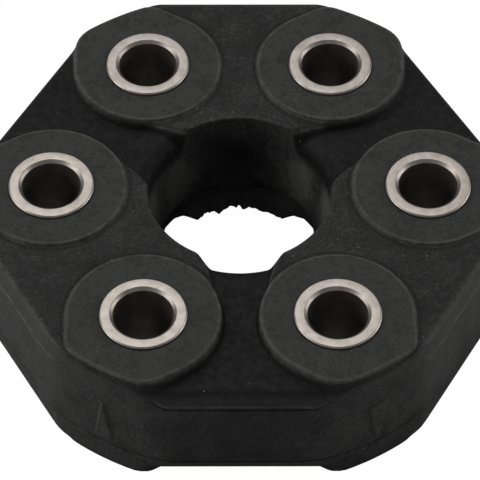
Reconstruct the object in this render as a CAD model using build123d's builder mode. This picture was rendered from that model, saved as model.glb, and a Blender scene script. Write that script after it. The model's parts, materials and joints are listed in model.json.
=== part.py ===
from build123d import *
from math import cos, radians, sin, tan
import os

# Flexible disc coupling for a propeller shaft: a moulded rubber disc with six steel
# sleeves, tied together in pairs by loops of cord that are sealed inside the rubber.
# Millimetres. The origin is the centre of the disc and +Z runs along the shafts.
# A side lies between each two sleeves. The three high sides hold two narrow cord loops,
# one near each face, and the three low sides hold one wide loop in the middle.

# Steel sleeves on the bolt circle
bolt_circle_diameter = 78.0
bore_diameter = 12.2
sleeve_diameter = 17.8
sleeve_length = 30.0
bore_chamfer = 0.65
sleeve_edge_chamfer = 0.3

# Rubber heights
sleeve_proud = 0.6  # steel above the rubber face of a boss
high_step = 0.7  # boss face down to a high side
low_step = 2.8  # boss face down to a low side
parting_rise = 5.1  # lower boss face up to the mould's parting line

# Rubber outline
boss_cover = 1.8  # rubber between a collar and the round wall of a boss
side_shoulder = 2.53  # rubber of a side wall beyond a boss radius
platform_shoulder = 2.5  # the same, inwards, at the point of a high side's platform
corner_shoulder = 0.5  # the same at the corner wall
upper_draft = 3.0  # degrees, side wall above the parting line
lower_draft = 7.0  # degrees, side wall below it
lip_radius = 4.5  # rolled upper edge of a low side
mould_step = 0.25  # bead where the roll meets the drafted wall
boss_rim = 0.5
high_edge_radius = 0.8  # upper outer edge of a high side
lower_edge_radius = 0.8  # outer edges of the lower face
groove_depth = 0.35
groove_height = 0.3

# Central hole
hole_cover = 1.27  # rubber between the cord loops and the hole
hole_lip_radius = 3.0  # rolled inner edge of a low side
hole_draft = 3.0  # degrees, each way from the parting line
flash_reach = 3.3  # thin web that the mould left at the parting line
flash_thickness = 0.8
flash_sweep = 76.0  # degrees of the hole that the web covers in a high side
flash_root = 0.8  # how far the web runs into the wall of the hole

# Direction marks on the corner walls, pointing up and down in turn
mark_base = 5.0
mark_tip = 1.2
mark_length = 12.0
mark_proud = 0.6
mark_rise = 1.5  # parting line up to the mark

# Cord loops, and the flanged collars that guide them
loop_thickness = 4.2
center_loop_width = 11.2
side_loop_cover = 1.5  # rubber between a narrow loop and the face of a high side
collar_thickness = 1.0
collar_flange = 5.0

# Worked out from the sizes above
first_high_angle = 90
first_low_angle = 30
bolt_circle_radius = bolt_circle_diameter / 2
half_pitch = bolt_circle_radius * sin(radians(30))
link_line = bolt_circle_radius * cos(radians(30))
sleeve_radius = sleeve_diameter / 2
loop_radius = sleeve_radius + loop_thickness
collar_radius = sleeve_radius + collar_flange
boss_radius = collar_radius + boss_cover
boss_top = sleeve_length / 2 - sleeve_proud
high_top = boss_top - high_step
low_top = boss_top - low_step
parting_z = parting_rise - boss_top
lip_z = low_top - lip_radius
side_x = link_line + boss_radius + side_shoulder
parting_x = side_x + mould_step + (lip_z - parting_z) * tan(radians(upper_draft))
corner_radius = bolt_circle_radius + boss_radius + corner_shoulder
platform_x = link_line - boss_radius - platform_shoulder
hole_radius = link_line - loop_radius - hole_cover
hole_waist = hole_radius - (boss_top - parting_z) * tan(radians(hole_draft))
hole_foot = hole_waist + parting_rise * tan(radians(hole_draft))
hole_lip_z = low_top - hole_lip_radius
hole_lip = hole_waist + (hole_lip_z - parting_z) * tan(radians(hole_draft))
collar_z = center_loop_width / 2
side_loop_z = collar_z + collar_thickness
side_loop_width = high_top - side_loop_cover - side_loop_z
margin = 5.0  # how far a cutting tool runs past what it cuts
seam_overlap = 0.3  # how far a platform's corner runs in under a boss


# Boss posts: the room that the bosses keep while the sides are cut to their heights.
# Each is round, with two flats at 60 degrees to each other that run out to the corner.
with BuildPart() as boss_posts:
    with BuildSketch():
        with PolarLocations(bolt_circle_radius, 6):
            Circle(boss_radius)
            Polygon(
                (0, 0),
                (boss_radius * cos(radians(60)), boss_radius * sin(radians(60))),
                (boss_radius / cos(radians(60)), 0),
                (boss_radius * cos(radians(60)), -boss_radius * sin(radians(60))),
                align=None,
            )
    extrude(amount=boss_top + margin, both=True)

# The three high platforms, each pointed towards the central hole
with BuildSketch() as platforms:
    with PolarLocations(0, 3, start_angle=first_high_angle):
        Polygon(
            (platform_x, 0),
            (link_line - boss_radius + seam_overlap, half_pitch),
            (corner_radius + margin, half_pitch),
            (corner_radius + margin, -half_pitch),
            (link_line - boss_radius + seam_overlap, -half_pitch),
            align=None,
        )

# The space above the sides on the upper face: down to the high sides everywhere, on to
# the low sides outside the platforms, and over the low sides' rolled edge at the hole
with BuildPart() as face_tool:
    with BuildSketch(Plane.XY.offset(high_top)):
        Circle(corner_radius + margin)
    extrude(amount=high_step + margin)
    with BuildSketch(Plane.XY.offset(low_top)):
        Circle(corner_radius + margin)
        add(platforms.sketch, mode=Mode.SUBTRACT)
    extrude(amount=high_top - low_top)
    add(boss_posts.part, mode=Mode.SUBTRACT)
with BuildPart() as hole_lip_tool:
    with BuildSketch(Plane.XZ):
        with BuildLine():
            roll = RadiusArc(
                (hole_lip + hole_lip_radius, low_top), (hole_lip, hole_lip_z), -hole_lip_radius
            )
            Polyline(roll @ 1, (0, hole_lip_z), (0, low_top), roll @ 0)
        make_face()
    revolve(axis=Axis.Z)
    with BuildSketch(Plane.XY.offset(hole_lip_z)):
        add(platforms.sketch)
    extrude(amount=hole_lip_radius, mode=Mode.SUBTRACT)


def edge_tool(wall, top, radius, first_angle):
    """The space outside a rounded edge along three sides, clear of the bosses."""
    with BuildPart() as strip:
        with BuildSketch(Plane.XZ):
            with BuildLine():
                roll = RadiusArc((wall - radius, top), (wall, top - radius), radius)
                Polyline(
                    roll @ 1,
                    (wall + margin, top - radius),
                    (wall + margin, top),
                    roll @ 0,
                )
            make_face()
        extrude(amount=half_pitch, both=True)
    with BuildPart() as strips:
        with PolarLocations(0, 3, start_angle=first_angle):
            add(strip.part)
        add(boss_posts.part, mode=Mode.SUBTRACT)
    return strips.part


def lower_wall(top):
    """Distance of the side wall from the axis where a lower edge begins to round."""
    return parting_x - (top - lower_edge_radius + parting_z) * tan(radians(lower_draft))


# The six steel sleeves, turned, with a chamfer at each bore mouth and outer edge
with BuildPart() as sleeve:
    Cylinder(sleeve_radius, sleeve_length)
    chamfer(sleeve.edges(), sleeve_edge_chamfer)
    Hole(bore_diameter / 2)
    mouths = sleeve.edges().filter_by(GeomType.CIRCLE).group_by(SortBy.RADIUS)[0]
    chamfer(mouths, bore_chamfer)


def cord_loop(width):
    """Stadium ring of wound cord round the two sleeves of the side that faces +X."""
    with BuildPart() as loop:
        with BuildSketch(Plane.XY):
            with Locations((link_line, 0)):
                SlotCenterToCenter(2 * half_pitch, 2 * loop_radius, rotation=90)
                SlotCenterToCenter(
                    2 * half_pitch, 2 * sleeve_radius, rotation=90, mode=Mode.SUBTRACT
                )
        extrude(amount=width)
    return loop.part


center_loop = cord_loop(center_loop_width)
side_loop = cord_loop(side_loop_width)

# Flanged collar on a sleeve, between the wide loop and a narrow one
with BuildPart() as collar:
    with BuildSketch():
        Circle(collar_radius)
        Circle(sleeve_radius, mode=Mode.SUBTRACT)
    extrude(amount=collar_thickness)

# What is sealed inside the rubber, each piece where it lies
inner_pieces = {}
for number in range(3):
    low_turn = Rot(0, 0, first_low_angle + 120 * number)
    high_turn = Rot(0, 0, first_high_angle + 120 * number)
    inner_pieces[f"center_loop_{number + 1}"] = low_turn * Pos(0, 0, -collar_z) * center_loop
    inner_pieces[f"upper_loop_{number + 1}"] = high_turn * Pos(0, 0, side_loop_z) * side_loop
    inner_pieces[f"lower_loop_{number + 1}"] = (
        high_turn * Pos(0, 0, -side_loop_z - side_loop_width) * side_loop
    )
for number in range(6):
    spot = Rot(0, 0, 60 * number) * Pos(bolt_circle_radius, 0, 0)
    inner_pieces[f"upper_collar_{number + 1}"] = spot * Pos(0, 0, collar_z) * collar.part
    inner_pieces[f"lower_collar_{number + 1}"] = spot * Pos(0, 0, -side_loop_z) * collar.part

# What stands inside the parting line's groove
with BuildSketch() as groove_floor:
    RegularPolygon(parting_x - groove_depth, 6, major_radius=False)
    Circle(corner_radius - groove_depth, mode=Mode.INTERSECT)

# The rubber body
with BuildPart() as rubber_body:
    # Hexagon that flares down to the parting line and comes in again below it
    with BuildSketch(Plane.XY.offset(parting_z)):
        RegularPolygon(parting_x, 6, major_radius=False)
    extrude(amount=lip_z - parting_z, taper=upper_draft)
    with BuildSketch(Plane.XY.offset(parting_z)):
        RegularPolygon(parting_x, 6, major_radius=False)
    extrude(amount=-parting_rise, taper=lower_draft)
    with BuildSketch(Plane.XY.offset(lip_z)):
        RegularPolygon(side_x, 6, major_radius=False)
    extrude(amount=boss_top - lip_z)
    Cylinder(corner_radius, 2 * (boss_top + margin), mode=Mode.INTERSECT)

    # Sides cut down round the bosses on both faces, and their edges rounded
    add(face_tool.part, mode=Mode.SUBTRACT)
    add(mirror(face_tool.part, Plane.XY), mode=Mode.SUBTRACT)
    add(hole_lip_tool.part, mode=Mode.SUBTRACT)
    add(edge_tool(side_x, low_top, lip_radius, first_low_angle), mode=Mode.SUBTRACT)
    add(edge_tool(side_x, high_top, high_edge_radius, first_high_angle), mode=Mode.SUBTRACT)
    for top, first_angle in ((low_top, first_low_angle), (high_top, first_high_angle)):
        tool = edge_tool(lower_wall(top), top, lower_edge_radius, first_angle)
        add(mirror(tool, Plane.XY), mode=Mode.SUBTRACT)

    # Bevelled rims of the bosses
    for bosses in (rubber_body.faces().group_by(Axis.Z)[-1], rubber_body.faces().group_by(Axis.Z)[0]):
        chamfer(bosses.edges(), boss_rim)

    # Central hole, drafted both ways from the parting line, and the web of flash in it
    with BuildSketch(Plane.XZ):
        with BuildLine():
            Polyline(
                (0, -boss_top),
                (hole_foot, -boss_top),
                (hole_waist, parting_z),
                (hole_radius, boss_top),
                (0, boss_top),
                close=True,
            )
        make_face()
    revolve(axis=Axis.Z, mode=Mode.SUBTRACT)
    with BuildSketch(Plane.XY.offset(parting_z)):
        with BuildLine():
            outer = CenterArc((0, 0), hole_waist + flash_root, -flash_sweep / 2, flash_sweep)
            inner = CenterArc((0, 0), hole_waist - flash_reach, -flash_sweep / 2, flash_sweep)
            Line(outer @ 0, inner @ 0)
            Line(outer @ 1, inner @ 1)
        web = make_face(mode=Mode.PRIVATE)
        with PolarLocations(0, 3, start_angle=first_high_angle):
            add(web)
    extrude(amount=flash_thickness)

    # Groove of the parting line, right round the outside
    with BuildSketch(Plane.XY.offset(parting_z - groove_height / 2)):
        Circle(corner_radius + margin)
        add(groove_floor.sketch, mode=Mode.SUBTRACT)
    extrude(amount=groove_height, mode=Mode.SUBTRACT)

    # Direction marks on the corner walls, pointing up and down in turn
    for number in range(6):
        tip = mark_length / 2 if number % 2 == 0 else -mark_length / 2
        wall = Plane(
            origin=(0, 0, parting_z + mark_rise + mark_length / 2),
            x_dir=(-sin(radians(60 * number)), cos(radians(60 * number)), 0),
            z_dir=(cos(radians(60 * number)), sin(radians(60 * number)), 0),
        )
        with BuildSketch(wall.offset(corner_radius - margin)):
            Polygon(
                (-mark_tip / 2, tip),
                (mark_tip / 2, tip),
                (mark_base / 2, -tip),
                (-mark_base / 2, -tip),
                align=None,
            )
        extrude(amount=margin + mark_proud)

    # Seats of the sleeves, the cord loops and the collars
    with PolarLocations(bolt_circle_radius, 6):
        Cylinder(sleeve_radius, sleeve_length, mode=Mode.SUBTRACT)
    add(inner_pieces.values(), mode=Mode.SUBTRACT)


os.makedirs("parts", exist_ok=True)
rubber_body.part.label = "rubber_body"
export_step(rubber_body.part, "parts/rubber_body.step")
for number in range(6):
    copy = Rot(0, 0, 60 * number) * Pos(bolt_circle_radius, 0, 0) * sleeve.part
    copy.label = f"sleeve_{number + 1}"
    export_step(copy, f"parts/{copy.label}.step")
for name, piece in inner_pieces.items():
    piece.label = name
    export_step(piece, f"parts/{name}.step")
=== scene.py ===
# %% [markdown]
# # A disc coupling for a propeller shaft
# The object is one block of black moulded rubber with six steel sleeves bonded into it. Cord loops
# and thin collars are sealed inside. This lesson dresses the solid model: the rubber gets a skin
# with the soft edges, draft and flash of a real moulding, and the steel gets its turned finish.
# First the solid model is loaded as a fixed frame. Everything is in metres there, and the sizes
# below are in millimetres, because that is how a moulding is drawn.

# %% Load the solid model
import json

import bmesh
import bpy
import numpy as np
from mathutils import Matrix, Vector


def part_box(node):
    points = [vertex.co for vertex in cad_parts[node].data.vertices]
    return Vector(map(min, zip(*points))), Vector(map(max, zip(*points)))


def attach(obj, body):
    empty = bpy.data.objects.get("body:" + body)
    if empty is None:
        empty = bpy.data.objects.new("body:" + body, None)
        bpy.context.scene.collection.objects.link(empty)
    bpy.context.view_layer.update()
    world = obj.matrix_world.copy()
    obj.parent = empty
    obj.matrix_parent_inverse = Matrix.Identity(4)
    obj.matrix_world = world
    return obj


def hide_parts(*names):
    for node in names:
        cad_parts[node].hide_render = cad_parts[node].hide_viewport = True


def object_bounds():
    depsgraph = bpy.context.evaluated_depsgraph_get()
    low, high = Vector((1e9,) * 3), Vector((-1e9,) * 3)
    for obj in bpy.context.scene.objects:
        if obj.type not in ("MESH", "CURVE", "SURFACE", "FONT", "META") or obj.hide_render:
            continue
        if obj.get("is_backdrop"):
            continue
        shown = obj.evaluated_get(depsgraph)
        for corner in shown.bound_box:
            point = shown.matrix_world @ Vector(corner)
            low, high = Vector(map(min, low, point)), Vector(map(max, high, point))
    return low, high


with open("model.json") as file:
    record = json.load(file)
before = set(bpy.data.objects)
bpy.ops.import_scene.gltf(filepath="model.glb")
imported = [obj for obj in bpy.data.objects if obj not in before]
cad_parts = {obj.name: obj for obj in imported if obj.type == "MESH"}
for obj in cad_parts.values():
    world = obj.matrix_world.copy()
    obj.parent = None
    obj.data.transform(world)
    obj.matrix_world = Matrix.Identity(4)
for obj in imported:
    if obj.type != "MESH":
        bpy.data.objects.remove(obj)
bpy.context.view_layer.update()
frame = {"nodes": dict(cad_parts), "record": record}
MM = 0.001
print("solid model:", len(frame["nodes"]), "pieces")

# %% [markdown]
# ## Sizes read from the solid model
# A new piece has to sit exactly where the solid one does. So the main sizes are not typed again:
# they are read from the boxes of the solid pieces, and the bore from the record's list of mounts.

# %% Sizes from the solid model
sleeve_box = np.array([tuple(corner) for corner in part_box("sleeve_1")]) / MM
collar_box = np.array([tuple(corner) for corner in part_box("upper_collar_1")]) / MM
rubber_box = np.array([tuple(corner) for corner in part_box("rubber_body")]) / MM

bolt_radius = sleeve_box[:, 0].mean()
sleeve_radius = np.ptp(sleeve_box[:, 0]) / 2
sleeve_top = sleeve_box[1, 2]
bore_radius = frame["record"]["mounts"][0]["dims"]["r_mm"]
collar_radius = np.ptp(collar_box[:, 0]) / 2
boss_top = rubber_box[1, 2]
print(f"bolt circle {2 * bolt_radius:.1f}, sleeve {2 * sleeve_radius:.1f}, bore {2 * bore_radius:.1f}")
print(f"sleeve ends at {sleeve_top:.1f}, boss faces at {boss_top:.1f}")

# %% [markdown]
# ## Sizes of the moulding
# The disc is a hexagon with a sleeve at each corner. Its sides differ in turn: three high sides,
# nearly level with the bosses, and three low sides with a large rolled edge. The mould opens at a
# parting line low on the wall, and the walls lean inwards from it both ways. The upper and the
# lower face have the same forms with other sizes, so each face is a dictionary of its sizes, and
# every formula below takes one of the two. All lengths are in millimetres.

# %% Sizes of the walls
half_sector = np.radians(30)  # from a sleeve to the middle of the side beside it
link_line = bolt_radius * np.cos(half_sector)  # disc axis to the line between two sleeves
boss_radius = collar_radius + 1.8
parting_wall = link_line + boss_radius + 3.63  # disc axis to a side wall at the parting line
corner_radius = bolt_radius + boss_radius + 0.5
mould_step = {"high": 0.0, "low": 0.25}  # how far the wall stands out below the lip
parting_z = 5.1 - boss_top
lip_z = 7.1  # the lip, where the halves of the mould's ring met
hole_waist_radius = 18.16  # the hole is narrowest at the parting line
flank_slope = 4.1  # fall per millimetre on the flank of a boss
upper_draft = {"high": 0.031, "low": 0.052}  # lean of a side wall above the parting line
lower_draft = {"high": 0.02, "low": 0.12}  # and below it
corner_flare = 0.5  # how far the corner walls stand out below the parting line
print(f"parting line {parting_wall:.2f} from the axis at z {parting_z:.1f}, lip at z {lip_z:.1f}")

# %% Sizes of the two faces
upper = {
    "sign": 1,
    "top": boss_top,
    "drop": {"high": 0.7, "low": 2.8},  # boss face down to each kind of side
    "edge": {"high": 0.5, "low": 2.0},  # radius of the outer edge of a side
    "rim": {"high": 0.4, "low": 3.5},  # radius of its edge at the hole
    "hole": 19.2,  # radius of the hole
    "corner": corner_radius,  # radius of the corner walls at this face
    "inset": 0.35,  # how far inside them the bosses have their rim
    "bevel": 0.5,  # radius of that rim
    "boss": boss_radius,
    "round": {"high": 1.8, "low": 3.2},  # how softly it turns from circle to corner wall
    "rings": {"over": 4, "flank": 9, "flat": 9, "edge": 12},  # grid rings on each stretch
}
lower = {
    "sign": -1,
    "top": sleeve_top - 0.05,
    "drop": {"high": 0.75, "low": 3.35},
    "edge": {"high": 0.5, "low": 0.6},
    "rim": {"high": 0.4, "low": 0.8},
    "hole": 18.4,
    "corner": corner_radius + corner_flare,
    "inset": 0.05,
    "bevel": 0.25,
    "boss": boss_radius + 0.3,
    "round": {"high": 1.5, "low": 1.8},
    "rings": {"over": 2, "flank": 4, "flat": 4, "edge": 6},
}
print("low sides lie", upper["drop"]["low"], "below the bosses above,", lower["drop"]["low"], "below")

# %% [markdown]
# ## Small formulas that shape rubber
# Moulded rubber has no sharp change anywhere. Four short formulas do most of the work: a soft
# step, a soft minimum, a soft maximum and a soft ridge. The fifth gives gentle unevenness: it adds
# up plane waves of one size that run in seeded random directions, so it is the same on every run.
# A Displace modifier could do this too, but a formula can be added where it is wanted and nowhere
# else.


# %% Soft steps, soft limits and ripples
def ease(x):
    """Soft step: 0 below 0, 1 above 1, and 3 x squared minus 2 x cubed between."""
    x = np.clip(x, 0, 1)
    return x * x * (3 - 2 * x)


def soft_min(a, b, width):
    """The smaller of a and b, with the corner rounded off where they differ by less than width."""
    mix = np.clip(0.5 + 0.5 * (b - a) / width, 0, 1)
    return b + (a - b) * mix - width * mix * (1 - mix)


def soft_max(a, b, width):
    """The larger of a and b, rounded in the same way."""
    return -soft_min(-a, -b, width)


def ridge(x, half_width):
    """Bell of height 1 at x = 0: e to the power of minus (x over half_width) squared."""
    return np.exp(-((x / half_width) ** 2))


def ripple(points, size, seed, waves=24):
    """Sum of plane waves about size apart, divided by the root of their number."""
    draw = np.random.default_rng(seed)
    direction = draw.normal(size=(3, waves))
    direction /= np.linalg.norm(direction, axis=0)
    pace = 2 * np.pi / (size * draw.uniform(0.7, 1.6, waves))
    phase = draw.uniform(0, 2 * np.pi, waves)
    return np.sin(points @ (direction * pace) + phase).sum(axis=-1) / np.sqrt(waves)


print("soft maximum of 1.0 and 1.1:", round(float(soft_max(1.0, 1.1, 0.5)), 3))

# %% [markdown]
# ## The wall
# Seen from above, the wall is a hexagon cut by a circle. It could be an extruded outline, but then
# its draft would need a second one. In polar form one formula does both: each side is its distance
# from the axis divided by the cosine of the angle to the side's middle, and the soft minimum with
# the corner circle rounds the corners. The distance itself changes with height: it grows from the
# edge down to the parting line, with a small step at the lip, and shrinks again below it.


# %% Wall of the moulding
lip_depth = 0.16  # height over which the small step at the lip is made
flare_depth = 3.0  # and that over which the corner walls flare out below the parting line


def side_distance(side, z, lip):
    """Axis to side wall: less the draft times the height above or below the parting line, and
    less the step above the lip."""
    above = upper_draft[side] * (z - parting_z) + mould_step[side] * ease((z - lip) / lip_depth + 1)
    return parting_wall - np.where(z > parting_z, above, lower_draft[side] * (parting_z - z))


def wall_radius(side, angle, z, lip):
    """Disc axis to wall at this angle from a sleeve, between 0 and 30 degrees, and height z."""
    corner = corner_radius + corner_flare * ease((parting_z - z) / flare_depth)
    return soft_min(side_distance(side, z, lip) / np.cos(half_sector - angle), corner, 1.0)


corner_reach, side_reach = (wall_radius("low", angle, 0, lip_z) for angle in (0, half_sector))
print(f"at mid-height the corner is {corner_reach:.2f} from the axis, a low side {side_reach:.2f}")

# %% [markdown]
# ## One twelfth of the face
# The disc repeats, so only half of the ground round one sleeve is worked out, once for a high side
# and once for a low side. Mirrored and turned copies make up the disc. The half face is a grid: its
# columns run round the sleeve, and its rings run outwards from the sleeve over the boss to the edge
# of the face. Ring lines then follow the boss's rim exactly, which a plain grid would cut into
# steps. The columns fall into four stretches: corner wall, side wall, middle of the side and hole.

# %% Columns of the half face
columns = {"corner": 8, "side": 26, "middle": 28, "hole": 20}
stretch = np.concatenate(
    [
        number + np.linspace(0, 1, count, endpoint=False)
        for number, count in enumerate(columns.values())
    ]
    + [[4.0]]
)
wall_columns = columns["corner"] + columns["side"] + 1
hole_columns = columns["hole"] + 1


def along(*stops):
    """Value at every column, running evenly between these stops at the ends of the stretches."""
    return np.interp(stretch, np.arange(5), stops)


print(len(stretch), "columns:", wall_columns, "meet the wall and", hole_columns, "the hole")

# %% [markdown]
# ## Outline of a boss
# A boss is round towards the hole and cut off by flats towards the outside, where the wall of the
# mould leaves no room for the circle. The formula says how far a point lies beyond that outline.
# It is negative inside, so the rim itself is found by halving an interval until it is zero. Here u
# points from the disc's axis to the sleeve, and v across it.

# %% Outline of a boss, seen from its sleeve
boss_flat = np.radians(60)  # direction that the flat faces
halvings = 30  # enough for a millionth of a millimetre


def outside_boss(u, v, side, face):
    """Distance beyond the rim of the boss at (bolt_radius, 0): beyond a circle, or beyond the flat
    that it runs into at boss_flat, and softly limited by the distance beyond the corner wall."""
    x = u - bolt_radius
    beyond_flat = x * np.cos(boss_flat) + v * np.sin(boss_flat) - face["boss"]
    beyond_round = np.hypot(x, v) - face["boss"]
    beyond = np.where(np.arctan2(v, x) < boss_flat, beyond_flat, beyond_round)
    return soft_max(beyond, np.hypot(u, v) - face["corner"] + face["inset"], face["round"][side])


def boss_outline(turn, side, face):
    """Sleeve axis to the rim: the interval between two distances that enclose it is halved again
    and again, until it is far thinner than a hair."""
    near, far = 0 * turn + sleeve_radius, 0 * turn + 2 * sleeve_radius
    for _ in range(halvings):
        middle = (near + far) / 2
        u, v = bolt_radius + middle * np.cos(turn), middle * np.sin(turn)
        inside = outside_boss(u, v, side, face) < 0
        near, far = np.where(inside, middle, near), np.where(inside, far, middle)
    return near


to_corner, to_hole = (float(boss_outline(turn, "low", upper)) for turn in (0.0, np.pi))
print(f"boss reaches {to_corner:.1f} to the corner and {to_hole:.1f} to the hole")

# %% [markdown]
# ## Heights
# The height of the face is a soft maximum of two forms: the side with its rounded outer edge, and
# the steep flank of the boss. A soft maximum fills the foot of the boss as rubber does in a mould,
# with no separate fillet to keep in step. Where a low side meets the neighbouring platform near
# the hole, a soft step joins them. It runs slantwise from the foot of the boss to the rim of the
# hole: straight at first, then along a circle round the sleeve.

# %% Step between a platform and a low side
step_rim = np.array([19.3, 0.6])  # where the step reaches the hole
step_round = boss_radius - 0.3  # radius of the circle round the sleeve that it runs into
to_sleeve = np.array([bolt_radius, 0]) - step_rim
step_length = np.sqrt(to_sleeve @ to_sleeve - step_round**2)
step_turn = np.arcsin(step_round / np.hypot(*to_sleeve)) + np.arctan2(to_sleeve[1], to_sleeve[0])


def past_step(u, v):
    """Share of the way down the step from the platform to a low side: the distance beyond the
    straight part, or beyond the circle further along, divided by a width that narrows."""
    x, y = u - step_rim[0], v - step_rim[1]
    along_step = x * np.cos(step_turn) + y * np.sin(step_turn)
    beyond = np.minimum(y * np.cos(step_turn) - x * np.sin(step_turn), 2 * v)
    beyond_round = np.hypot(u - bolt_radius, v) - step_round
    beyond = np.where(along_step > step_length, beyond_round, beyond)
    return ease(beyond / (0.6 + 2.0 * ease(1.2 * (1 - along_step / step_length))))


print(f"the step is straight for {step_length:.1f}, turned {np.degrees(step_turn):.0f} degrees")


# %% Heights of the face
def rolled(x, radius):
    """Fall of a rounded edge: radius minus the root of radius squared minus x squared."""
    x = np.clip(x, 0, radius)
    return radius - np.sqrt(radius**2 - x**2)


def toward_side(u, v):
    """Distance from the disc's axis in the direction of the middle of the side."""
    return u * np.cos(half_sector) + v * np.sin(half_sector)


def flank_height(u, v, side, face):
    """Height of the boss's steep flank at (u, v), from the boss face."""
    return -face["bevel"] - flank_slope * np.maximum(outside_boss(u, v, side, face), 0)


def face_height(u, v, side, face, wall):
    """Height at (u, v) from the boss face, so a negative number: the drop to the side and the
    fall of its two rolled edges, or the flank of the boss where that is higher."""
    from_hole = np.hypot(u, v) - face["hole"]
    ground = {
        kind: -face["drop"][kind]
        - rolled(toward_side(u, v) - (wall - face["edge"][kind]), face["edge"][kind])
        - rolled(face["rim"][kind] - from_hole, face["rim"][kind])
        for kind in ("high", "low")
    }
    base = ground["high"]
    if side == "low":
        base = base + (ground["low"] - base) * past_step(u, v)
    width = np.clip(0.3 + 0.5 * (-face["drop"]["high"] - base), 0.3, 1.6)
    return soft_max(base, flank_height(u, v, side, face), width)


def column_height(u, v, side, face, wall):
    """Height at each column: the flank alone at the corner, where the boss falls straight to the
    wall, and the whole form from the end of the corner on."""
    flank = flank_height(u, v, side, face)
    return flank + (face_height(u, v, side, face, wall) - flank) * ease(stretch)


low_middle = face_height(40.0, 23.0, "low", upper, parting_wall)
print("middle of a low side:", round(float(low_middle), 2))

# %% [markdown]
# ## Where the columns end
# Every column starts at the rim of the boss and ends at the edge of the half face: at the wall, on
# the line across the middle of the side, or at the hole. At the wall the lip of the mould is found
# too, because the wall takes over from there. It lies level along a side and rises at a corner.


# %% Ends of the columns
def column_ends(side, face, wall):
    """Angle and distance from the disc's axis, height from the boss face and height of the lip, for
    the end of each column."""
    wall_corner = half_sector - np.arccos(wall / face["corner"])
    angle = along(0, wall_corner, half_sector, half_sector, 0)
    on_side = np.clip(stretch - 1, 0, 1)
    angle = np.where(on_side > 0, wall_corner + (half_sector - wall_corner) * on_side**1.4, angle)
    angle = np.where(stretch > 3, half_sector * (4 - stretch), angle)
    at_wall, at_hole = stretch <= 2, stretch >= 3
    inwards = (1 - np.cos(np.pi * (stretch - 2))) / 2
    reach = np.select(
        [at_wall, at_hole],
        [soft_min(wall / np.cos(half_sector - angle), face["corner"], 1.0), face["hole"]],
        wall + (face["hole"] - wall) * inwards,
    )
    u, v = reach * np.cos(angle), reach * np.sin(angle)
    depth = column_height(u, v, side, face, wall)
    edge_height = face["top"] + depth
    highest_lip = edge_height - 0.3
    lip = soft_max(lip_z, face["top"] + flank_height(u, v, side, face), 3.0)
    lip = np.minimum(lip, highest_lip)
    lip = np.where(stretch < 1.4, lip + (highest_lip - lip) * ease(1.4 - stretch), lip)
    reach = np.where(at_wall, wall_radius(side, angle, face["sign"] * edge_height, lip), reach)
    return angle, reach, depth, lip


low_ends = column_ends("low", upper, parting_wall)
print(f"a low side meets the wall {-low_ends[2][wall_columns - 1]:.2f} below the boss face")

# %% [markdown]
# ## Rings
# The rings are spaced by need: close together where the rubber curves, at the sleeve, over the
# rim, down the flank and round the outer edge, and wide apart on the flat. A Subdivision Surface
# would add points everywhere. The lower face, which the disc stands on, gets half as many.

# %% Rings of the half face
face_rings = np.array([[0.0, 0.3], [0.07, 0.12], [0.18, 0.02], [0.35, 0.0]])  # out, down
flat_rings = np.array([0.3, 0.65, 0.95])[:, None]  # shares of the way from there to the rim
flank_width = 1.7


def boss_rings(rim, turn, face):
    """How far out from the sleeve's axis and how far down each ring of the boss itself lies: the
    lip of rubber at the sleeve, the flat face, and the rim, a quarter of a circle."""
    rim_turns = np.linspace(0, np.pi / 2, face["rings"]["over"], endpoint=False)
    inner = sleeve_radius + face_rings[:, :1] + 0 * turn
    flat = inner[-1] + (rim - face["bevel"] - inner[-1]) * flat_rings
    over = rim - face["bevel"] * (1 - np.sin(rim_turns))[:, None]
    down = [-face_rings[:, 1], 0 * flat_rings[:, 0], -face["bevel"] * (1 - np.cos(rim_turns))]
    return np.concatenate([inner, flat, over]), np.concatenate(down)[:, None] + 0 * turn


def ring_shares(span, side, face):
    """Share of the way from the rim to the end of the column for each further ring: even steps
    down the flank, even steps on the flat, and steps by the sine of an angle round the edge."""
    near = np.minimum(flank_width / span, 0.4)
    curved = (0.5, 0.5, face["edge"][side] + 0.5, face["rim"][side] + 0.5, face["rim"]["high"] + 0.5)
    far = np.minimum(along(*curved) / span, 0.5)
    count = face["rings"]
    flank = np.linspace(0, 1, count["flank"], endpoint=False)[:, None]
    flat = np.linspace(0, 1, count["flat"], endpoint=False)[:, None]
    edge = 1 - np.sin(np.linspace(0, np.pi / 2, count["edge"]))[:, None]
    return np.concatenate([near * flank, near + (1 - near - far) * flat, 1 - far * edge])


print(len(ring_shares(np.full(len(stretch), 10.0), "low", upper)), "rings outside the rim of a boss")

# %% [markdown]
# ## Tone with painted shade, wear with painted highlights, and smoothness
# The bosses are pressed on steel flanges and come out even and pale. The low sides are darker
# rubber, and their tone also falls with depth as painted shade, as it does in the foot of each boss.
# The rims of the bosses are rubbed grey, and the step, the rim of the hole and the outer edges are
# lighter, as wear with painted highlights. Such a pattern follows the form, so it is worked out with
# the form: each point of the grid carries its tone with painted shade, its wear with painted
# highlights, and how smooth it is. Painting by hand would not follow a change of size, and noise
# alone doesn't know where a rim is.

# %% Finish of the face, with painted shade and highlights
# Tones: boss, platform, corner and hole are the rubber's own; the low side's dark tone is darker
# rubber together with painted shade of the sunken ground between the bosses.
tones_with_painted_shade = {"boss": 0.84, "platform": 0.42, "low": 0.03, "corner": 0.66, "hole": 0.9}
# Edge levels: the boss's rim is rubbed; the step, the hole's rim and the outer edges get painted
# highlights as well as wear.
edge_wear_and_highlight = {"rim": 0.55, "under rim": 0.6, "step": 0.8, "high": 0.6, "low": 0.3}


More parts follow.
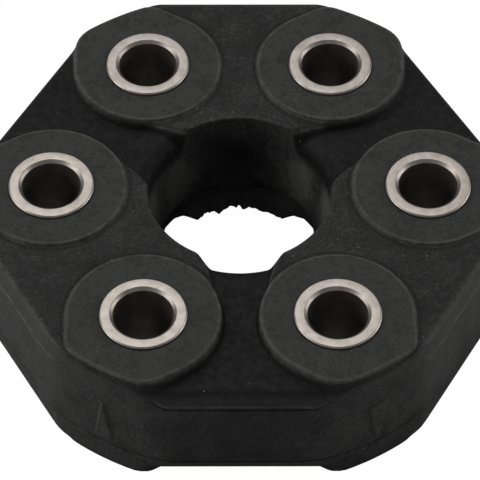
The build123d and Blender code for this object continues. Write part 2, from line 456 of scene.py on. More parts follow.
def face_finish_with_painted_light(u, v, z, side, face, wall):
    """Tone, wear and smoothness outside the rim. Tone runs from platform to low side with depth,
    partly as painted shade, and is painted darker in the foot of the boss as painted shade. Wear is a
    ridge along each edge: the rim of the boss, the step, the rim of the hole and the outer edge; past
    the rim of the boss it is painted highlight as well as wear."""
    ring = np.arange(len(z))[:, None]
    past = past_step(u, v) if side == "low" else 0 * u
    # Lighter ridges along the step, the hole's rim and the outer edge: painted highlights on convex
    # edges as well as wear.
    hole_edge = 0.3 * ridge(np.hypot(u, v) - face["hole"], 0.7) * (1 - past)
    step_edge = ridge(past - 0.25, 0.12) + hole_edge
    side_edge = edge_wear_and_highlight[side] * ridge(toward_side(u, v) - wall, 0.6)
    worn = np.maximum(edge_wear_and_highlight["step"] * step_edge, side_edge) * ease(ring / 6)
    worn = worn + edge_wear_and_highlight["under rim"] * ridge(ring, 0.9)
    # Painted shade: the tone falls from the platform's to the low side's with the depth of the ground.
    low_share = ease((-z - face["drop"]["high"]) / (face["drop"]["low"] - face["drop"]["high"]))
    tone = tones_with_painted_shade["platform"] + (tones_with_painted_shade["low"] - tones_with_painted_shade["platform"]) * low_share * ease(stretch)
    tone = tone + (tones_with_painted_shade["boss"] - tone) * ridge(ring, 1.0)
    # Painted shade in the foot of the boss, a few rings out from its rim.
    tone = tone * (1 - 0.6 * ease(stretch - 0.5) * ridge(ring - 4, 2.0))
    return tone, np.clip(worn, 0, 1), ridge(ring, 1.5) + 0 * z


print("tones from dark to pale:", sorted(tones_with_painted_shade, key=tones_with_painted_shade.get))

# %% [markdown]
# ## The half face
# Now the parts come together: the rings of the boss, the rings beyond its rim, their heights and
# their finish make one grid. The wall will need the outer end of it, so that is handed on.

# %% Half a face as a grid
boss_turns = np.radians([0, 30.9, 70, 152, 180])  # directions from the sleeve, at the stretch ends


def half_face(side, face):
    """Grid of rings by columns for the half that looks towards a high or a low side. Returns the
    points with their finish and, for the columns that meet the wall, its angle, its height there
    and the height of the lip."""
    edge_z = face["sign"] * (face["top"] - face["drop"][side] - face["edge"][side])
    wall = float(side_distance(side, edge_z, lip_z))
    turn = along(*boss_turns)
    rim = boss_outline(turn, side, face)
    rim_u, rim_v = bolt_radius + rim * np.cos(turn), rim * np.sin(turn)
    angle, reach, depth, lip = column_ends(side, face, wall)
    end_u, end_v = reach * np.cos(angle), reach * np.sin(angle)

    share = ring_shares(np.hypot(end_u - rim_u, end_v - rim_v), side, face)
    u, v = rim_u + (end_u - rim_u) * share, rim_v + (end_v - rim_v) * share
    z = column_height(u, v, side, face, wall)
    z[-1] = depth
    tone, worn, smooth = face_finish_with_painted_light(u, v, z, side, face, wall)

    out, down = boss_rings(rim, turn, face)
    boss_ring = np.arange(len(out))[:, None] + 0 * turn
    boss_worn = np.where(boss_ring < len(face_rings) + len(flat_rings), 0, edge_wear_and_highlight["rim"])
    grid = [
        np.concatenate([bolt_radius + out * np.cos(turn), u]),
        np.concatenate([out * np.sin(turn), v]),
        face["sign"] * (face["top"] + np.concatenate([down, z])),
        np.concatenate([tones_with_painted_shade["boss"] + 0 * out, tone]),
        np.concatenate([boss_worn, worn]),
        np.concatenate([1 + 0 * out, smooth]),
    ]
    edge = slice(wall_columns)
    return np.stack(grid, axis=-1), angle[edge], grid[2][-1, edge], lip[edge]


halves = {
    (side, face["sign"]): half_face(side, face) for side in ("high", "low") for face in (upper, lower)
}
print("half face:", halves["low", 1][0].shape)

# %% [markdown]
# ## The wall as a grid
# The wall joins the edge of the upper face to the edge of the lower one. Its rows crowd together
# where something happens: at the lip, where the roll of a low side meets the drafted wall in a
# crisp line, and at the groove of the parting line. On the high sides the same joint of the mould
# has left a raised, ragged bead, with a faint crease above it. At this size they are real steps of
# the surface and not bump, so that they catch the light from every side.

# %% Rows of the wall
lip_rows = np.array([-0.15, -0.08, 0, 0.04, 0.08, 0.12, 0.16, 0.2, 0.28, 0.4])  # down from the lip
parting_rows = parting_z + 0.6 * np.array([1, 0.6, 0.35, 0.2, 0.08, 0, -0.08, -0.2, -0.35, -0.6, -1])
edge_rows, wall_rows, foot_rows = 6, 34, 5


def wall_heights(top_z, lip, foot_z):
    """Heights of the rows: evenly down to the lip, close together round it, evenly down to the
    parting line, close together round that, and evenly down to the lower edge."""
    under_lip = lip - lip_rows[:, None]
    edge_share = np.linspace(0, 1, edge_rows, endpoint=False)[:, None]
    wall_share = np.linspace(0, 1, wall_rows, endpoint=False)[1:, None]
    foot_share = np.linspace(0, 1, foot_rows + 1)[1:, None]
    return np.concatenate(
        [
            top_z + (under_lip[0] - top_z) * edge_share,
            under_lip,
            under_lip[-1] + (parting_rows[0] - under_lip[-1]) * wall_share,
            np.broadcast_to(parting_rows[:, None], (len(parting_rows), wall_columns)),
            parting_rows[-1] + (foot_z - parting_rows[-1]) * foot_share,
        ]
    )


def from_faces(finish, z, top, foot, reach):
    """Finish that starts as the finish of the face at either end and becomes its own within reach."""
    for face_edge in (top, foot):
        share = ease(np.abs(z - face_edge[:, 2]) / reach)[..., None]
        finish = face_edge[:, 3:] + (finish - face_edge[:, 3:]) * share
    return finish


print(edge_rows + len(lip_rows) + wall_rows - 1 + len(parting_rows) + foot_rows, "rows on the wall")

# %% Half a wall
groove_depth, groove_width = 0.4, 0.17  # at the parting line
line_depth, line_width = 0.3, 0.07  # under the roll of a low side
bead_proud, bead_ragged, bead_width = 0.22, 0.08, 0.3
crease_z, crease_depth, crease_width = 11.0, 0.12, 0.22
# Painted light and shade on the walls: the low sides' walls are painted dark as shaded, the high
# sides' walls pale as lit, and the wall below the parting line pale as lit from the floor.
wall_tones_lit_and_shaded = {"high": 0.9, "low": 0.36, "below": 0.75}


def past_corner(angle, start, width):
    """Soft step from the corner to the side: it begins at start degrees from the sleeve."""
    return ease((angle - np.radians(start)) / np.radians(width))


def half_wall(side):
    """Grid from the upper to the lower edge: each row is a height, each column an angle that
    moves evenly from its place on the upper edge to its place on the lower one. The radius of the
    wall gets ridges of its own at the groove, the lip, the bead and the crease."""
    (_, top_angle, top_z, lip), (_, foot_angle, foot_z, _) = halves[side, 1], halves[side, -1]
    z = wall_heights(top_z, lip, foot_z)
    angle = top_angle + (foot_angle - top_angle) * (top_z - z) / (top_z - foot_z)
    radius = wall_radius(side, angle, z, lip) - groove_depth * ridge(z - parting_z, groove_width)
    on_side = past_corner(angle, 8, 6)
    if side == "high":
        along_wall = np.stack([corner_radius * angle, 0 * angle, 0 * angle], axis=-1)
        wander = 0.3 * np.abs(ripple(along_wall, 4.0, 21))
        bead = past_corner(angle, 11, 6) * ridge(z - lip + wander, bead_width)
        radius -= crease_depth * on_side * ridge(z - crease_z, crease_width)
        radius += on_side * bead * (bead_proud + bead_ragged * ripple(along_wall, 1.5, 22))
        # Painted highlight on the bead, as well as wear.
        worn = 1.4 * bead
    else:
        radius -= line_depth * on_side * ridge(z - (lip - 0.1), line_width)
        # Painted highlight on the plumb wall between the roll and the lip.
        worn = 0.7 * ridge(z - lip - 0.7, 0.4)
    # Painted light and shade: tone from the corner's to the side's painted tone, then the painted
    # floor light below the parting line.
    tone = tones_with_painted_shade["corner"] + (wall_tones_lit_and_shaded[side] - tones_with_painted_shade["corner"]) * past_corner(angle, 8, 14)
    tone = tone + (wall_tones_lit_and_shaded["below"] - tone) * ease((parting_z - z) / 0.5)
    top, foot = (halves[side, sign][0][-1, :wall_columns] for sign in (1, -1))
    finish = from_faces(np.stack([tone, worn * on_side, 0.3 + 0 * z], axis=-1), z, top, foot, 0.8)
    place = np.stack([radius * np.cos(angle), radius * np.sin(angle), z], axis=-1)
    return np.concatenate([place, finish], axis=-1)


walls = {side: half_wall(side) for side in ("high", "low")}
print("half wall:", walls["low"].shape)

# %% [markdown]
# ## Hole and seats
# The hole is drafted both ways from the parting line as well, and it is paler where the rubber tore
# when the mould opened. At the middle of each high side its wall is painted darker as painted shade.
# The seat of a sleeve is a plain cylinder: nobody sees it, but it closes the skin.


# %% Half a hole and half a seat
rows_above, rows_below = 18, 6
hole_step = 0.2  # how much wider the hole is past the end of a high side
torn_places = [  # degrees from the middle of a high side, height, spread of both, and wear
    (43, -1, 10, 6, 2.6),
    (0, -7, 9, 1.2, 0.4),
]


def half_hole(side):
    """Rows from the upper to the lower rim of the hole. The radius runs evenly to the waist and
    out again, with a small step where the high side ends. Tone is painted darker at the middle of the
    high side as painted shade, and each torn place is a ridge both ways."""
    top, foot = halves[side, 1][0][-1, -hole_columns:], halves[side, -1][0][-1, -hole_columns:]
    angle = np.arctan2(top[:, 1], top[:, 0])
    above, below = (np.linspace(0, 1, rows)[:, None] for rows in (rows_above, rows_below))
    z = np.concatenate(
        [top[:, 2] + (parting_z - top[:, 2]) * above, parting_z + (foot[:, 2] - parting_z) * below[1:]]
    )
    waist = (z - parting_z) / np.where(z > parting_z, top[:, 2] - parting_z, foot[:, 2] - parting_z)
    flare = np.where(z > parting_z, upper["hole"], lower["hole"]) - hole_waist_radius
    off_middle = np.degrees(angle + half_sector if side == "low" else half_sector - angle)
    step = ease((off_middle - 31) / 3) * ease((z - parting_z) / 2) * ease((top[:, 2] - z) / 4)
    radius = hole_waist_radius + flare * waist + hole_step * step
    torn = sum(
        wear_there * ridge(z - height, tall) * ridge(off_middle - middle, wide)
        for middle, height, wide, tall, wear_there in torn_places
    )
    # Painted shade on the hole's wall at the middle of the high side.
    painted_hole_shade = ridge(off_middle, 24) * ridge(z - 2.5, 6.5)
    finish = np.stack([tones_with_painted_shade["hole"] * (1 - painted_hole_shade), torn, 0 * z], axis=-1)
    finish = from_faces(finish, z, top, foot, 4.0)
    place = np.stack([radius * np.cos(angle), radius * np.sin(angle), z], axis=-1)
    return np.concatenate([place, finish], axis=-1)


def half_seat(side):
    """Straight rows from the upper to the lower ring round the sleeve."""
    share = np.linspace(0, 1, 3)[:, None, None]
    top, foot = halves[side, 1][0][0], halves[side, -1][0][0]
    return top + (foot - top) * share


holes = {side: half_hole(side) for side in ("high", "low")}
seats = {side: half_seat(side) for side in ("high", "low")}
print("half hole:", holes["low"].shape, "half seat:", seats["low"].shape)

# %% [markdown]
# ## Flash
# Where the halves of the mould met inside the hole, some rubber was squeezed out and torn off. A
# thin ragged web is left in each high side. It is a closed strip of its own that grows out of the
# wall: the section is a thin wedge, and its inner edge wanders with the angle. A strip apart from
# the wall is simpler than tearing the wall's own grid, and nobody sees where the two meet.

# %% Webs of flash in the hole
web_sweep = np.radians(68)  # how far it reaches either way from the middle of the high side
web_tip = 0.5  # thickness near the torn edge
web_root = 4.0  # thickness where it grows out of the wall
web_across = np.array([0, 0.16, 0.25, 0.36, 0.5, 0.7, 0.9, 1.0])  # from root to torn edge
web_thickness = np.array([1, 0.7, 0.46, 0.3, 0.2, 0.14, 0.1, 0.0])[:, None]  # as shares of the root's


def web_reach(degrees):
    """Reach of the web from the wall: three plateaus that end one after another, two bulges and a
    notch in the middle. Also the share of full raggedness."""
    off_middle = np.abs(degrees)
    narrow, wide, widest = (
        1 - ease((off_middle - end) / width) for end, width in ((41, 6), (42, 14), (54, 12))
    )
    reach = 0.6 * widest + 2.3 * narrow + 1.5 * wide
    reach += 1.0 * ridge(degrees - 21, 6) + 0.3 * ridge(degrees + 21, 6) - 0.6 * ridge(degrees, 2)
    return reach, 0.15 + 0.85 * narrow


def flash_web(middle_angle, seed):
    """Closed ring sector: section points by angles. Waves of three sizes make the torn edge
    ragged, the section thins from root to tip, and a longer wave lets it droop."""
    angle = np.linspace(-web_sweep, web_sweep, 321)
    place = np.stack([18 * angle, 0 * angle, 0 * angle + middle_angle * 9], axis=-1)
    ragged = sum(
        size * 0.11 * ripple(place, size, seed + number)
        for number, size in enumerate((4.0, 1.8, 0.8))
    )
    reach, raggedness = web_reach(np.degrees(angle))
    inner = hole_waist_radius - reach - ragged * raggedness
    root = hole_waist_radius + 0.6
    across = np.concatenate([web_across, web_across[-2::-1]])[:, None]
    radius = root + (inner - root) * across
    half = web_thickness * web_root / 2 * ease((web_sweep - np.abs(angle)) / np.radians(2))
    droop = 0.15 * ripple(place, 3.0, seed + 9) * across
    z = parting_z + web_tip / 2 + np.concatenate([half, -half[-2::-1]]) + droop
    turn = middle_angle + angle
    channels = [0.3 * (radius - inner) / (root - inner), 0 * z, 0 * z]
    sheet = np.stack([radius * np.cos(turn), radius * np.sin(turn), z, *channels], axis=-1)
    return np.concatenate([sheet, sheet[:1]])


webs = [flash_web(np.radians(90 + 120 * number), 40 + number) for number in range(3)]
print("web of flash:", webs[0].shape)

# %% [markdown]
# ## Direction marks
# A tapered mark stands on each corner wall, and every other one points up: it shows the fitter
# which of the two shafts is bolted on there. It is a low pad whose height is the soft step of the
# distance to its nearest edge, so all its edges come out round without a Bevel modifier.

# %% Direction marks
mark_length, mark_base, mark_tip = 12.0, 5.4, 1.6
mark_proud, mark_root = 0.58, 0.6  # how far it stands out of the wall, and reaches into it
mark_middle = parting_z + 1.5 + mark_length / 2
mark_edge = 0.9  # width of its rounded edge


def direction_mark(number):
    """Closed pad, across by along: the width runs evenly from base to tip, and the height is a
    soft step of the distance from the edge, raised to a power that makes it rise sooner."""
    pointing = 1 if number % 2 == 0 else -1
    across, lengthwise = np.meshgrid(np.linspace(-1, 1, 25), np.linspace(-1, 1, 41))
    width = mark_base + (mark_tip - mark_base) * (pointing * lengthwise + 1) / 2
    from_edge = soft_min(
        (1 - np.abs(across)) * width / 2, (1 - np.abs(lengthwise)) * mark_length / 2, 0.4
    )
    proud = (mark_proud + mark_root) * ease(np.maximum(from_edge, 0) / mark_edge) ** 0.7 - mark_root
    out = corner_radius + proud
    sideways = across * width / 2
    turn = np.radians(60 * number) + sideways / corner_radius
    z = mark_middle + lengthwise * mark_length / 2
    # Lighter band on the rounded edge of the mark: painted highlight as well as wear.
    worn = 0.45 * ridge(from_edge - 0.6, 0.4)
    channels = [tones_with_painted_shade["corner"] + 0 * z, worn, 0.3 + 0 * z]
    front = np.stack([out * np.cos(turn), out * np.sin(turn), z, *channels], axis=-1)
    back_radius = corner_radius - mark_root + 0 * out
    back = np.stack([back_radius * np.cos(turn), back_radius * np.sin(turn), z, *channels], axis=-1)
    return [front, back[:, ::-1]]


marks = [grid for number in range(6) for grid in direction_mark(number)]
print(len(marks) // 2, "marks")

# %% [markdown]
# ## From grids to a mesh
# A grid becomes a mesh when each square of four neighbouring points is one face. All grids of the
# rubber go into one mesh, points that coincide are merged, and the normals are worked out again so
# that every closed shell faces outwards. The three more numbers that each point of the rubber has
# become attributes of the mesh, and the material reads them there: tone, which carries painted
# shade, the wear with painted highlights, and smoothness.


# %% Grids to one mesh
merge_distance, sliver = 0.002, 0.001


def mesh_from_grids(name, grids):
    """Object with one face for each square of each grid; points in millimetres. What a grid holds
    beyond x, y and z becomes attributes of the points."""
    points, faces, start = [], [], 0
    for grid in grids:
        rows, cols = grid.shape[:2]
        index = start + np.arange(rows * cols).reshape(rows, cols)
        square = np.stack([index[:-1, :-1], index[:-1, 1:], index[1:, 1:], index[1:, :-1]], axis=-1)
        points.append(grid.reshape(rows * cols, -1))
        faces.append(square.reshape(-1, 4))
        start += rows * cols
    mesh = bpy.data.meshes.new(name)
    points = np.concatenate(points)
    mesh.from_pydata(points[:, :3] * MM, [], np.concatenate(faces).tolist())
    for attribute, values in zip(("tone", "worn", "smooth"), points[:, 3:].T):
        mesh.attributes.new(attribute, "FLOAT", "POINT").data.foreach_set("value", values)
    shaped = bmesh.new()
    shaped.from_mesh(mesh)
    bmesh.ops.remove_doubles(shaped, verts=shaped.verts, dist=merge_distance * MM)
    bmesh.ops.dissolve_degenerate(shaped, edges=shaped.edges, dist=sliver * MM)
    bmesh.ops.recalc_face_normals(shaped, faces=shaped.faces)
    open_edges = sum(1 for edge in shaped.edges if not edge.is_manifold)
    shaped.to_mesh(mesh)
    shaped.free()
    mesh.shade_smooth()
    piece = bpy.data.objects.new(name, mesh)
    bpy.context.scene.collection.objects.link(piece)
    print(name, len(mesh.polygons), "faces,", open_edges, "open edges")
    return piece


def around(grid, number, flip):
    """The grid mirrored if flip, and turned to sleeve number."""
    turn = np.radians(60 * number)
    turned = np.array([[np.cos(turn), -np.sin(turn), 0], [np.sin(turn), np.cos(turn), 0], [0, 0, 1]])
    place = (grid[..., :3] * (1, -1 if flip else 1, 1)) @ turned.T
    return np.concatenate([place, grid[..., 3:]], axis=-1)


print("points nearer than", merge_distance, "are merged")

# %% [markdown]
# ## The rubber body
# Twelve copies of each half grid, every other one mirrored, make the whole skin. A Mirror and an
# Array modifier could do it, but this way the seams are merged once, and the check for open edges
# sees the finished shell. The body, the flash and the marks then take the place of the solid.

# %% The rubber body
rubber_grids = []
for number in range(6):
    for side in ("low", "high"):
        flip = (number % 2 == 0) == (side == "high")
        for grid in (halves[side, 1][0], halves[side, -1][0], walls[side], holes[side], seats[side]):
            rubber_grids.append(around(grid, number, flip))
rubber = mesh_from_grids("moulded_rubber", rubber_grids)
flash = mesh_from_grids("torn_flash", webs)
raised_marks = mesh_from_grids("direction_marks", marks)
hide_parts("rubber_body")
rubber_pieces = (rubber, flash, raised_marks)
for piece in rubber_pieces:
    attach(piece, "root")

# %% [markdown]
# ## Steel sleeves
# A sleeve is a piece of turned tube, so it is a profile carried round its own axis. The profile
# has the bevels that the lathe tool leaves at the bore and at the outer edge, with their corners
# just broken. A UV map follows the turning: one way round, the other along the profile.

# %% Sleeve profile
bore_bevel, outer_bevel = 0.65, 0.3


def broken_corners(corners, cut):
    """Each corner of the closed outline becomes five points of an arc-like curve: the middle of
    the corner pulled in, and points at cut from it on both edges."""
    before = np.roll(corners, 1, axis=0) - corners
    after = np.roll(corners, -1, axis=0) - corners
    before *= cut / np.linalg.norm(before, axis=1, keepdims=True)
    after *= cut / np.linalg.norm(after, axis=1, keepdims=True)
    share = np.linspace(0, 1, 5)[None, :, None]
    curve = (1 - share) ** 2 * before[:, None] + share**2 * after[:, None]
    return (corners[:, None] + curve).reshape(-1, 2)


half_profile = np.array(
    [
        [bore_radius, sleeve_top - bore_bevel],
        [bore_radius + bore_bevel, sleeve_top],
        [sleeve_radius - outer_bevel, sleeve_top],
        [sleeve_radius, sleeve_top - outer_bevel],
    ]
)
profile = broken_corners(np.concatenate([half_profile, half_profile[::-1] * (1, -1)]), 0.1)
profile = np.concatenate([profile, profile[:1]])
print("sleeve profile:", len(profile), "points")


# %% [markdown]
# ## The six sleeves
# The tool marks of turning are rings round each sleeve's own axis. Object coordinates would lay the
# same pattern across all six, so each sleeve gets a map of its own: the share of a turn across, and
# up it the way along the profile. A face that crosses the end of the turn is given the next turn's
# number, so that the map has no smear there.


# %% Sleeves as turned pieces
def turning_map(mesh, number):
    """UV of each face corner: turn about the sleeve's axis, and radius plus half the height."""
    points = np.empty(3 * len(mesh.vertices))
    mesh.vertices.foreach_get("co", points)
    axis = np.radians(60 * number)
    x, y, z = (points.reshape(-1, 3) / MM).T
    x, y = x - bolt_radius * np.cos(axis), y - bolt_radius * np.sin(axis)
    loop_vertex = np.empty(len(mesh.loops), dtype=int)
    mesh.loops.foreach_get("vertex_index", loop_vertex)
    around_axis = (np.arctan2(y, x) / (2 * np.pi)) % 1
    across_face = (np.hypot(x, y) + 0.5 * z) / 10
    uv = np.stack([around_axis, across_face], axis=-1)[loop_vertex].reshape(-1, 4, 2)
    wraps = np.ptp(uv[:, :, 0], axis=1, keepdims=True) > 0.5
    uv[:, :, 0] += wraps & (uv[:, :, 0] < 0.5)
    return uv.ravel()


def turned_sleeve(number):
    """Profile carried round the sleeve's axis: radius times cosine and sine, height as it is."""
    turn = np.linspace(0, 2 * np.pi, 129)
    grid = np.stack(
        [
            bolt_radius + profile[:, :1] * np.cos(turn),
            profile[:, :1] * np.sin(turn),
            profile[:, 1:] + 0 * turn,
        ],
        axis=-1,
    )
    piece = mesh_from_grids(f"steel_sleeve_{number + 1}", [around(grid, number, False)])
    uv = turning_map(piece.data, number)
    piece.data.uv_layers.new(name="turning").data.foreach_set("uv", uv)
    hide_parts(f"sleeve_{number + 1}")
    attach(piece, "root")
    return piece


sleeves = [turned_sleeve(number) for number in range(6)]

# %% [markdown]
# ## Materials
# Each material is a small graph of nodes. It could be drawn in the Shader Editor, but written out it
# can be read and changed like the shapes. A helper adds a node and sets its sockets, which keeps
# each material short enough to read from top to bottom. Patterns are placed by Object coordinates,
# so their sizes are real sizes.


# %% Helper for materials
class Finish:
    """A material with its nodes: add() makes a node, put() and feed() link or set a socket, and the
    rest are short names for the nodes used most."""

    def __init__(self, name):
        self.material = bpy.data.materials.new(name)
        self.material.use_nodes = True
        self.nodes, self.links = self.material.node_tree.nodes, self.material.node_tree.links
        self.shader = self.nodes["Principled BSDF"]
        self.place = self.add("ShaderNodeTexCoord").outputs["Object"]

    def add(self, kind, sockets=(), **settings):
        """New node with these settings, its sockets linked or set."""
        node = self.nodes.new(kind)
        for name, value in settings.items():
            setattr(node, name, value)
        for name, value in dict(sockets).items():
            self.put(node.inputs[name], value)
        return node

    def put(self, socket, value):
        """Link a socket to another's value, or set it to a number or a colour."""
        if isinstance(value, bpy.types.NodeSocket):
            self.links.new(value, socket)
        else:
            socket.default_value = value

    def times(self, first, second):
        """Product of two values."""
        sockets = {0: first, 1: second}
        return self.add("ShaderNodeMath", sockets, operation="MULTIPLY").outputs[0]

    def noise(self, size, detail=4.0, roughness=0.55, place=None):
        """Noise whose largest blotches are about size millimetres across."""
        sockets = {
            "Vector": place or self.place,
            "Scale": 1 / (size * MM),
            "Detail": detail,
            "Roughness": roughness,
        }
        return self.add("ShaderNodeTexNoise", sockets).outputs["Fac"]

    def between(self, factor, low, high, start=0.0, end=1.0):
        """Value that runs from low to high while factor runs from start to end."""
        sockets = {"Value": factor, "From Min": start, "From Max": end, "To Min": low, "To Max": high}
        return self.add("ShaderNodeMapRange", sockets).outputs["Result"]

    def mixed(self, factor, first, second):
        """Colour mixed from first to second by factor."""
        node = self.add("ShaderNodeMix", data_type="RGBA")
        sockets = node.inputs["Factor"], node.inputs[6], node.inputs[7]
        for socket, value in zip(sockets, (factor, first, second)):
            self.put(socket, value)
        return node.outputs[2]

    def bumped(self, height, strength, distance, normal=None):
        """Normal from a height, distance in millimetres."""
        sockets = {"Height": height, "Strength": strength, "Distance": distance * MM}
        if normal:
            sockets["Normal"] = normal
        return self.add("ShaderNodeBump", sockets).outputs["Normal"]

    def feed(self, name, value):
        """Link or set a socket of the main shader."""
        self.put(self.shader.inputs[name], value)


# %% [markdown]
# ### Black rubber
# Moulded rubber is never one flat black. A grey bloom sits on it in blotches, it carries specks of
# dust, and its skin has a fine grain with a few larger dents. How pale it is, painted shade
# included, how worn it is, painted highlights included, and how smooth it is follow the form, so
# those three come from the attributes of the mesh. Noise of three sizes then breaks each of them up,
# less so where the rubber is smooth.

# %% Colour of the rubber
rubber_finish = Finish("black_rubber")
tone, worn, smooth = (
    rubber_finish.add("ShaderNodeAttribute", attribute_name=name).outputs["Fac"]
    for name in ("tone", "worn", "smooth")
)
blotches = rubber_finish.noise(6.0, detail=7, roughness=0.65)
streaks = rubber_finish.noise(1.5, detail=4, roughness=0.6)
pale, dark = rubber_finish.between(smooth, 1.55, 1.25), rubber_finish.between(smooth, 0.5, 0.75)
bloom = rubber_finish.between(blotches, dark, pale, 0.35, 0.68)
mottle = rubber_finish.between(streaks, 0.5, 1.5, 0.3, 0.7)
grit = rubber_finish.between(rubber_finish.noise(0.6, detail=2), dark, pale, 0.35, 0.65)
for unevenness in (bloom, mottle, grit):
    tone = rubber_finish.times(tone, unevenness)
# Tone, painted shade included, sets the grey from near black to dark grey.
grey = rubber_finish.mixed(tone, (0.0015, 0.0015, 0.0015, 1), (0.032, 0.032, 0.031, 1))
# Lighter where worn and where edges carry painted highlights.
worn = rubber_finish.times(worn, rubber_finish.between(streaks, 0.35, 1.0, 0.35, 0.6))
grey = rubber_finish.mixed(worn, grey, (0.075, 0.075, 0.072, 1))
dusty = rubber_finish.between(rubber_finish.noise(0.45, detail=0), 0, 0.7, 0.85, 0.89)
rubber_finish.feed("Base Color", rubber_finish.mixed(dusty, grey, (0.2, 0.2, 0.19, 1)))
print("colour of the rubber:", len(rubber_finish.nodes), "nodes")

# %% Skin of the rubber
uneven = rubber_finish.between(smooth, 0.6, 0.12)
grain = rubber_finish.bumped(rubber_finish.noise(0.25, detail=3), 0.3, 0.05)
dents = rubber_finish.bumped(rubber_finish.noise(1.6, detail=3), uneven, 0.15, grain)
waves = rubber_finish.bumped(rubber_finish.noise(5.0, detail=3), uneven, 0.4, dents)
rubber_finish.feed("Normal", waves)
rubber_finish.feed("Roughness", rubber_finish.between(streaks, 0.6, 0.8, 0.35, 0.65))
rubber_finish.feed("Specular IOR Level", 0.16)
for piece in rubber_pieces:
    piece.data.materials.append(rubber_finish.material)
print("with its skin:", len(rubber_finish.nodes), "nodes on", len(rubber_pieces), "pieces")

# %% [markdown]
# ### Turned steel
# The tool leaves fine rings on the end faces, and the metal has dulled unevenly since. Noise on the
# sleeve's own map, stretched far round the axis, gives the rings. They show as a change of
# roughness more than of height, because turned steel is nearly flat.

# %% Turned steel
steel_finish = Finish("turned_steel")
turning = steel_finish.add("ShaderNodeUVMap", uv_map="turning").outputs["UV"]
rings_map = steel_finish.add(
    "ShaderNodeMapping", {"Vector": turning, "Scale": (0.004, 0.01, 1)}
).outputs["Vector"]
tool_marks = steel_finish.noise(0.11, detail=3, place=rings_map)
stain = steel_finish.between(steel_finish.noise(2.5, detail=4), 0, 1, 0.3, 0.7)
tint = steel_finish.mixed(stain, (0.23, 0.207, 0.183, 1), (0.32, 0.292, 0.268, 1))
steel_finish.feed("Base Color", tint)
steel_finish.feed("Metallic", 1.0)
steel_finish.feed("Roughness", steel_finish.between(tool_marks, 0.36, 0.5, 0.3, 0.7))
steel_finish.feed("Normal", steel_finish.bumped(tool_marks, 0.25, 0.03))
for sleeve in sleeves:
    sleeve.data.materials.append(steel_finish.material)
print("turned steel:", len(steel_finish.nodes), "nodes on", len(sleeves), "sleeves")

# %% [markdown]
# ### Cord and collars
# The loops of cord and the collars are sealed in the rubber, so their solids stay as they are. They
# still get a finish each, for whoever cuts the model open: wound strands are a wave along the
# height, and pressed steel has a fine grain.

# %% Cord
cord_finish = Finish("bonded_cord")
wound = {"Vector": cord_finish.place, "Scale": 320.0, "Distortion": 1.5}
strands = cord_finish.add("ShaderNodeTexWave", wound, bands_direction="Z").outputs["Fac"]
cord_finish.feed("Base Color", cord_finish.mixed(strands, (0.2, 0.16, 0.1, 1), (0.5, 0.43, 0.3, 1)))
cord_finish.feed("Roughness", 0.8)
cord_finish.feed("Normal", cord_finish.bumped(strands, 0.6, 0.3))
print("cord:", len(cord_finish.nodes), "nodes")

# %% Collars, and the solids that stay
collar_finish = Finish("pressed_steel")
collar_grain = collar_finish.noise(0.8)
collar_finish.feed("Base Color", (0.4, 0.4, 0.4, 1))
collar_finish.feed("Metallic", 1.0)
collar_finish.feed("Roughness", collar_finish.between(collar_grain, 0.35, 0.55, 0.3, 0.7))
collar_finish.feed("Normal", collar_finish.bumped(collar_grain, 0.2, 0.05))
kept_solids = [name for name in frame["nodes"] if "loop" in name or "collar" in name]
for name in kept_solids:
    finish = cord_finish if "loop" in name else collar_finish
    materials = frame["nodes"][name].data.materials
    materials.clear()
    materials.append(finish.material)
print(len(kept_solids), "solids stay and get a finish")

# %% [markdown]
# ## Floor
# The object stands on a pale floor. Lit by the lamps alone it would come out grey, and more light
# would bleach the object. So camera rays see a floor that glows nearly white, with a little of the
# lit paint left in it, which keeps the object's shadow. Every other ray meets plain pale paint.

# %% Floor
floor_size, glow_strength, glow_share = 3.0, 1.06, 0.93
edge, floor_z = floor_size / 2, -sleeve_top * MM
floor_mesh = bpy.data.meshes.new("floor")
square = ((-edge, -edge), (edge, -edge), (edge, edge), (-edge, edge))
floor_mesh.from_pydata([(x, y, floor_z) for x, y in square], [], [(0, 1, 2, 3)])
floor = bpy.data.objects.new("floor", floor_mesh)
bpy.context.scene.collection.objects.link(floor)
floor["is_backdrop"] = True
paper = Finish("pale_floor")
paper.feed("Base Color", (0.8, 0.8, 0.8, 1))
paper.feed("Roughness", 0.9)
glow = paper.add("ShaderNodeEmission", {"Color": (1, 1, 1, 1), "Strength": glow_strength}).outputs[0]
seen = paper.times(paper.add("ShaderNodeLightPath").outputs["Is Camera Ray"], glow_share)
mix = paper.add("ShaderNodeMixShader", {"Fac": seen, 1: paper.shader.outputs[0], 2: glow})
paper.links.new(mix.outputs[0], paper.nodes["Material Output"].inputs["Surface"])
floor.data.materials.append(paper.material)
print("floor", floor_size, "across, at", round(floor_z, 4))

# %% [markdown]
# ## World and lamps
# The world is white where the camera sees it and weak as a light, so it never washes the rubber
# out. Reflections see part of that white, so that the steel has something pale to mirror. The light
# itself comes from three large soft lamps: one above, and one low at each side for the walls.

# %% World
sky_light, sky_seen, mirrored = 0.1, 1.0, 0.2  # strength as a light, as a background, and its share
world = bpy.data.worlds.new("studio")
bpy.context.scene.world = world
world.use_nodes = True
sky = world.node_tree.nodes["Background"]
sky.inputs["Color"].default_value = (1, 1, 1, 1)
path = world.node_tree.nodes.new("ShaderNodeLightPath")
level = world.node_tree.nodes.new("ShaderNodeMapRange")
level.inputs["To Min"].default_value = sky_light
level.inputs["To Max"].default_value = sky_seen
reflected = world.node_tree.nodes.new("ShaderNodeMath")
reflected.operation = "MULTIPLY_ADD"
reflected.inputs[1].default_value = mirrored
world.node_tree.links.new(path.outputs["Is Glossy Ray"], reflected.inputs[0])
world.node_tree.links.new(path.outputs["Is Camera Ray"], reflected.inputs[2])
world.node_tree.links.new(reflected.outputs[0], level.inputs["Value"])
world.node_tree.links.new(level.outputs["Result"], sky.inputs["Strength"])
print("background at strength", sky_seen, "and sky light at", sky_light)


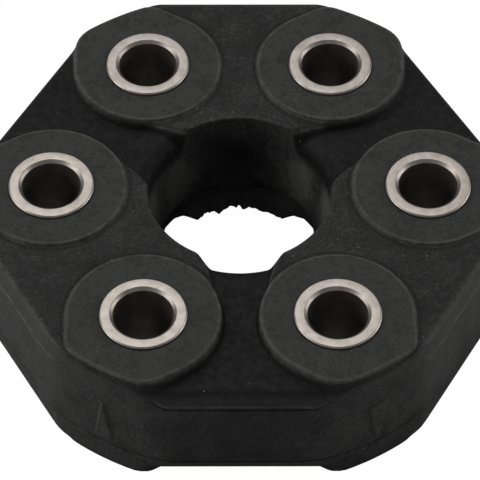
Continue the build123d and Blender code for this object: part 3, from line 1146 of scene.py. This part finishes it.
# %% Lamps
def soft_lamp(name, place, size, power):
    """Square area lamp at place, in metres, turned to the object."""
    lamp = bpy.data.lights.new(name, "AREA")
    lamp.shape, lamp.size, lamp.energy = "SQUARE", size, power
    holder = bpy.data.objects.new(name, lamp)
    holder.location = place
    holder.rotation_euler = Vector(place).to_track_quat("Z", "Y").to_euler()
    bpy.context.scene.collection.objects.link(holder)
    print(name, power, "watts,", round(Vector(place).length, 2), "metres away")


soft_lamp("top_lamp", (-0.15, 0.3, 0.85), 0.8, 6.3)
soft_lamp("left_lamp", (-0.8, -0.1, 0.35), 0.5, 3.5)
soft_lamp("right_lamp", (0.8, 0.1, 0.15), 0.5, 3.2)

# %% [markdown]
# ## Camera
# The camera looks down on the disc from a good arm's length with a long lens, so the far bosses are
# only a little smaller than the near ones. Its place follows from where it looks, from which
# direction and how far away, which is easier to adjust than three coordinates and three angles.

# %% Camera
elevation, azimuth, roll = np.radians([50.86, -0.62, 0.42])
target = Vector((-0.02, -15.04, sleeve_top)) * MM
distance = 638.1 * MM
back = Vector(
    (
        np.sin(azimuth) * np.cos(elevation),
        -np.cos(azimuth) * np.cos(elevation),
        np.sin(elevation),
    )
)
level_right = Vector((0, 0, 1)).cross(back).normalized()
level_up = back.cross(level_right)
right = np.cos(roll) * level_right + np.sin(roll) * level_up
up = -np.sin(roll) * level_right + np.cos(roll) * level_up
camera_data = bpy.data.cameras.new("camera")
camera_data.sensor_width = 36.0
camera_data.lens = 234.8
camera_data.clip_start, camera_data.clip_end = 0.01, 20
camera = bpy.data.objects.new("camera", camera_data)
camera.matrix_world = Matrix([*zip(right, up, back, target + back * distance), (0, 0, 0, 1)])
bpy.context.scene.collection.objects.link(camera)
bpy.context.scene.camera = camera
bpy.context.scene.view_settings.view_transform = "Standard"
print("camera", round(distance, 3), "metres away,", round(np.degrees(elevation)), "degrees up")

# %% [markdown]
# ## Box of the dressed model
# The dressed model must fill the same box as the solid one, so the corners of its box are printed.

# %% Finish
visual_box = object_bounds()
for corner in visual_box:
    print("corner of the dressed model:", [round(value / MM, 2) for value in corner])
